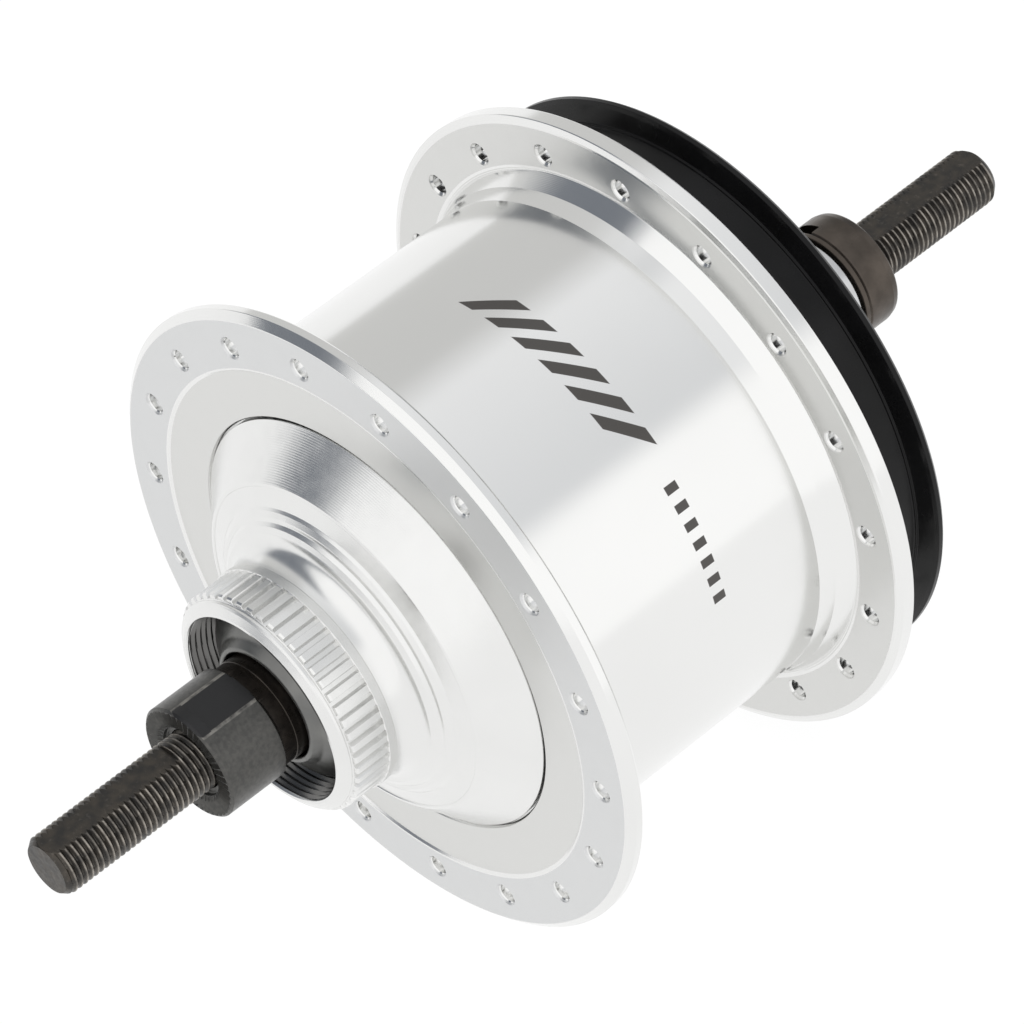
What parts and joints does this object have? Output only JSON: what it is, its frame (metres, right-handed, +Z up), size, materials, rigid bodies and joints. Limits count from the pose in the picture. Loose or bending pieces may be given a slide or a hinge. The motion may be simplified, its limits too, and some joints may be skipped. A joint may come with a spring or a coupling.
{
  "type": "bicycle hub gear",
  "caption": "Internal-gear rear bicycle hub for a disc brake: flanged shell, splined rotor tube, sprocket driver, planetary gear train and solid threaded axle.",
  "frame": {"origin": "on the axle axis, midway between the two lock-nut faces, which is the centre of the whole part", "axes": "+Y along the axle towards the brake side, +Z up, +X forward"},
  "size_m": [0.1042, 0.187, 0.1042],
  "materials": {
    "alloy_polished": "polished and anodised",
    "black_cap": "satin black",
    "dark_steel": "black oxide",
    "brown_steel": "brown oxide",
    "cap_grey": "grey plated",
    "bright_steel": "plated",
    "bearing_steel": "ground",
    "gear_steel": "hardened, oiled",
    "carrier_steel": "sintered",
    "spring_steel": "drawn"
  },
  "bodies": {
    "axle_group": {"axle": "dark_steel", "left_cone": "brown_steel", "left_lock_nut": "dark_steel", "right_cone": "bright_steel", "right_spacer": "brown_steel", "right_lock_nut": "brown_steel", "thrust_washer": "bright_steel", "carrier_clip": "bright_steel", "return_spring": "spring_steel", "sun_low": "gear_steel", "sun_first": "gear_steel", "sun_pawl_second": "gear_steel", "sun_pawl_third": "gear_steel"},
    "shell": {"hub_shell": "alloy_polished", "brake_side_cap": "alloy_polished", "left_bearing_cup": "bearing_steel", "left_dust_cap": "cap_grey", "right_ball_cup": "bearing_steel", "right_dust_cap": "black_cap", "ratchet_ring": "gear_steel", "drive_pawls": "gear_steel", "ring_gear_high": "gear_steel", "clutch_race": "bearing_steel"},
    "driver": {"driver": "bright_steel", "driver_bearing_cup": "bearing_steel", "driver_seal": "cap_grey", "ring_gear_low": "gear_steel"},
    "carrier": {"carrier_right": "carrier_steel", "carrier_middle": "carrier_steel", "carrier_left": "carrier_steel", "planet_pins_low": "bearing_steel", "planet_pins_high": "bearing_steel", "clutch_cam": "gear_steel", "clutch_rollers": "bearing_steel"},
    "selector": {"selector_sleeve": "carrier_steel"},
    "pawl_low": {"sun_pawl_low": "gear_steel"},
    "pawl_first": {"sun_pawl_first": "gear_steel"},
    "sun_second": {"sun_second": "gear_steel"},
    "sun_third": {"sun_third": "gear_steel"},
    "left_balls": {"left_balls": "bearing_steel"},
    "driver_balls": {"driver_balls": "bearing_steel"},
    "right_balls": {"right_balls": "bearing_steel"},
    "planet_low_1": {"planet_low_1": "gear_steel"},
    "planet_high_1": {"planet_high_1": "gear_steel"},
    "planet_low_2": {"planet_low_2": "gear_steel"},
    "planet_high_2": {"planet_high_2": "gear_steel"},
    "planet_low_3": {"planet_low_3": "gear_steel"},
    "planet_high_3": {"planet_high_3": "gear_steel"}
  },
  "joints": [
    {"name": "shell_spin", "type": "hinge", "parent": "axle_group", "child": "shell", "pos_m": [0, 0, 0], "axis": [0, 1, 0], "continuous": true},
    {"name": "driver_spin", "type": "hinge", "parent": "axle_group", "child": "driver", "pos_m": [0, 0, 0], "axis": [0, 1, 0], "continuous": true},
    {"name": "carrier_spin", "type": "hinge", "parent": "axle_group", "child": "carrier", "pos_m": [0, 0, 0], "axis": [0, 1, 0], "continuous": true},
    {"name": "sun_second_spin", "type": "hinge", "parent": "axle_group", "child": "sun_second", "pos_m": [0, 0, 0], "axis": [0, 1, 0], "continuous": true},
    {"name": "sun_third_spin", "type": "hinge", "parent": "axle_group", "child": "sun_third", "pos_m": [0, 0, 0], "axis": [0, 1, 0], "continuous": true},
    {"name": "left_balls_roll", "type": "hinge", "parent": "axle_group", "child": "left_balls", "pos_m": [0, 0, 0], "axis": [0, 1, 0], "continuous": true},
    {"name": "driver_balls_roll", "type": "hinge", "parent": "axle_group", "child": "driver_balls", "pos_m": [0, 0, 0], "axis": [0, 1, 0], "continuous": true},
    {"name": "right_balls_roll", "type": "hinge", "parent": "axle_group", "child": "right_balls", "pos_m": [0, 0, 0], "axis": [0, 1, 0], "continuous": true},
    {"name": "planet_low_1_spin", "type": "hinge", "parent": "carrier", "child": "planet_low_1", "pos_m": [0, 0, 0.02145], "axis": [0, 1, 0], "continuous": true},
    {"name": "planet_high_1_spin", "type": "hinge", "parent": "carrier", "child": "planet_high_1", "pos_m": [0.01858, 0, 0.01073], "axis": [0, 1, 0], "continuous": true},
    {"name": "planet_low_2_spin", "type": "hinge", "parent": "carrier", "child": "planet_low_2", "pos_m": [0.01858, 0, -0.01073], "axis": [0, 1, 0], "continuous": true},
    {"name": "planet_high_2_spin", "type": "hinge", "parent": "carrier", "child": "planet_high_2", "pos_m": [0, 0, -0.02145], "axis": [0, 1, 0], "continuous": true},
    {"name": "planet_low_3_spin", "type": "hinge", "parent": "carrier", "child": "planet_low_3", "pos_m": [-0.01858, 0, -0.01073], "axis": [0, 1, 0], "continuous": true},
    {"name": "planet_high_3_spin", "type": "hinge", "parent": "carrier", "child": "planet_high_3", "pos_m": [-0.01858, 0, 0.01073], "axis": [0, 1, 0], "continuous": true},
    {"name": "selector_turn", "type": "hinge", "parent": "axle_group", "child": "selector", "pos_m": [0, 0, 0], "axis": [0, 1, 0], "range_deg": [0, 120], "stiffness_Nm_per_rad": 0.02, "springref_deg": -34.38},
    {"name": "pawl_low_tilt", "type": "hinge", "parent": "axle_group", "child": "pawl_low", "pos_m": [0.004, 0, 0.006], "axis": [0, 1, 0], "range_deg": [-20, 0], "stiffness_Nm_per_rad": 0.002, "springref_deg": 20.05},
    {"name": "pawl_first_tilt", "type": "hinge", "parent": "axle_group", "child": "pawl_first", "pos_m": [0.0072, 0, -0.00046], "axis": [0, 1, 0], "range_deg": [-20, 0], "stiffness_Nm_per_rad": 0.002, "springref_deg": 20.05}
  ],
  "couplings": [
    {"joint": "driver_spin", "follows": "shell_spin", "ratio": 1.56},
    {"joint": "carrier_spin", "follows": "shell_spin", "ratio": 0.81818},
    {"joint": "sun_second_spin", "follows": "shell_spin", "ratio": 0.36},
    {"joint": "sun_third_spin", "follows": "shell_spin", "ratio": 0.52941},
    {"joint": "left_balls_roll", "follows": "shell_spin", "ratio": 0.57938},
    {"joint": "driver_balls_roll", "follows": "shell_spin", "ratio": 1.2612},
    {"joint": "right_balls_roll", "follows": "shell_spin", "ratio": 0.89316},
    {"joint": "planet_low_1_spin", "follows": "shell_spin", "ratio": 2.7818},
    {"joint": "planet_high_1_spin", "follows": "shell_spin", "ratio": 0.98182},
    {"joint": "planet_low_2_spin", "follows": "shell_spin", "ratio": 2.7818},
    {"joint": "planet_high_2_spin", "follows": "shell_spin", "ratio": 0.98182},
    {"joint": "planet_low_3_spin", "follows": "shell_spin", "ratio": 2.7818},
    {"joint": "planet_high_3_spin", "follows": "shell_spin", "ratio": 0.98182}
  ]
}
